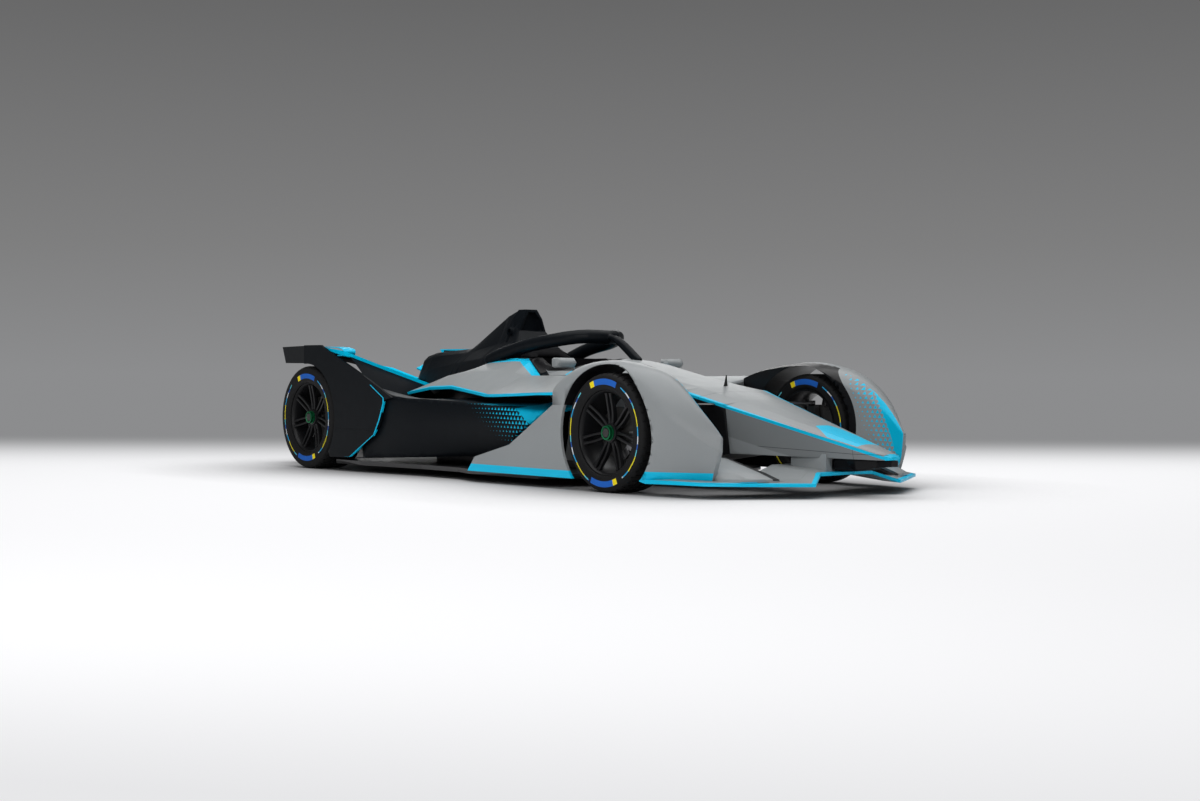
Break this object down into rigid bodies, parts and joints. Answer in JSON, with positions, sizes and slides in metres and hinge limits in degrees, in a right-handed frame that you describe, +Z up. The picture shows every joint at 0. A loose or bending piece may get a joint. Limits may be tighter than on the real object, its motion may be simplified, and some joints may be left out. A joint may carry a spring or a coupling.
{
  "type": "open wheel racing car",
  "caption": "Single-seat open wheel racing car with covered front wheels, cockpit hoop, rear deflectors and a split V rear wing; wheels roll and the front axle steers.",
  "frame": {"origin": "on the ground under the middle of the car's length and width", "axes": "+X towards the nose, +Y to the driver's left, +Z up"},
  "size_m": [5.16, 1.77, 1.045],
  "materials": {
    "grey_paint": "satin",
    "dark_paint": "satin",
    "carbon": "satin carbon fibre",
    "tyre": "worn matt",
    "rim_black": "matt black",
    "brake": "machined",
    "upright_metal": "anodised",
    "links": "black steel",
    "seat_cloth": "woven",
    "pad": "foam skin",
    "lamp_red": "clear red",
    "case_grey": "cast case",
    "grip": "matt"
  },
  "bodies": {
    "chassis": {"monocoque": "grey_paint", "nose_cone": "grey_paint", "front_wing": "grey_paint", "wing_pylons": "carbon", "belly_pan": "carbon", "engine_cover": "dark_paint", "roll_hoop": "dark_paint", "halo": "carbon", "rear_wing": "dark_paint", "floor": "carbon", "headrest": "pad", "seat": "seat_cloth", "mirrors": "grey_paint", "nose_mast": "carbon", "battery": "case_grey", "gearbox": "case_grey", "crash_structure": "carbon", "rain_light": "lamp_red", "front_wishbones": "links", "rear_wishbones": "links", "rear_uprights": "upright_metal", "fairing_left": "grey_paint", "side_panel_left": "grey_paint", "shoulder_left": "grey_paint", "sidepod_left": "dark_paint", "rear_deflector_left": "dark_paint", "fairing_right": "grey_paint", "side_panel_right": "grey_paint", "shoulder_right": "grey_paint", "sidepod_right": "dark_paint", "rear_deflector_right": "dark_paint"},
    "steering_wheel": {"steering_wheel": "grip"},
    "steering_rack": {"steering_rack": "links"},
    "knuckle_left": {"front_upright_left": "upright_metal"},
    "front_wheel_left": {"front_tyre_left": "tyre", "front_rim_left": "rim_black", "front_hub_left": "brake"},
    "rear_wheel_left": {"rear_tyre_left": "tyre", "rear_rim_left": "rim_black", "rear_hub_left": "brake"},
    "knuckle_right": {"front_upright_right": "upright_metal"},
    "front_wheel_right": {"front_tyre_right": "tyre", "front_rim_right": "rim_black", "front_hub_right": "brake"},
    "rear_wheel_right": {"rear_tyre_right": "tyre", "rear_rim_right": "rim_black", "rear_hub_right": "brake"}
  },
  "joints": [
    {"name": "steering_wheel_turn", "type": "hinge", "parent": "chassis", "child": "steering_wheel", "pos_m": [0.318, 0, 0.5852], "axis": [0.9781, 0, -0.2079], "range_deg": [-130, 130]},
    {"name": "rack_slide", "type": "slide", "parent": "chassis", "child": "steering_rack", "axis": [0, 1, 0], "range_m": [-0.035, 0.035]},
    {"name": "steer_left", "type": "hinge", "parent": "chassis", "child": "knuckle_left", "pos_m": [1.31, 0.715, 0.32], "axis": [0, 0, 1], "range_deg": [-20, 20]},
    {"name": "steer_right", "type": "hinge", "parent": "chassis", "child": "knuckle_right", "pos_m": [1.31, -0.715, 0.32], "axis": [0, 0, 1], "range_deg": [-20, 20]},
    {"name": "front_wheel_left_spin", "type": "hinge", "parent": "knuckle_left", "child": "front_wheel_left", "pos_m": [1.31, 0.765, 0.32], "axis": [0, 1, 0], "continuous": true},
    {"name": "rear_wheel_left_spin", "type": "hinge", "parent": "chassis", "child": "rear_wheel_left", "pos_m": [-1.79, 0.75, 0.34], "axis": [0, 1, 0], "continuous": true},
    {"name": "front_wheel_right_spin", "type": "hinge", "parent": "knuckle_right", "child": "front_wheel_right", "pos_m": [1.31, -0.765, 0.32], "axis": [0, 1, 0], "continuous": true},
    {"name": "rear_wheel_right_spin", "type": "hinge", "parent": "chassis", "child": "rear_wheel_right", "pos_m": [-1.79, -0.75, 0.34], "axis": [0, 1, 0], "continuous": true}
  ],
  "couplings": [
    {"joint": "rack_slide", "follows": "steering_wheel_turn", "m_per_rad": 0.015385},
    {"joint": "steer_left", "follows": "steering_wheel_turn", "ratio": -0.15385},
    {"joint": "steer_right", "follows": "steering_wheel_turn", "ratio": -0.15385}
  ]
}
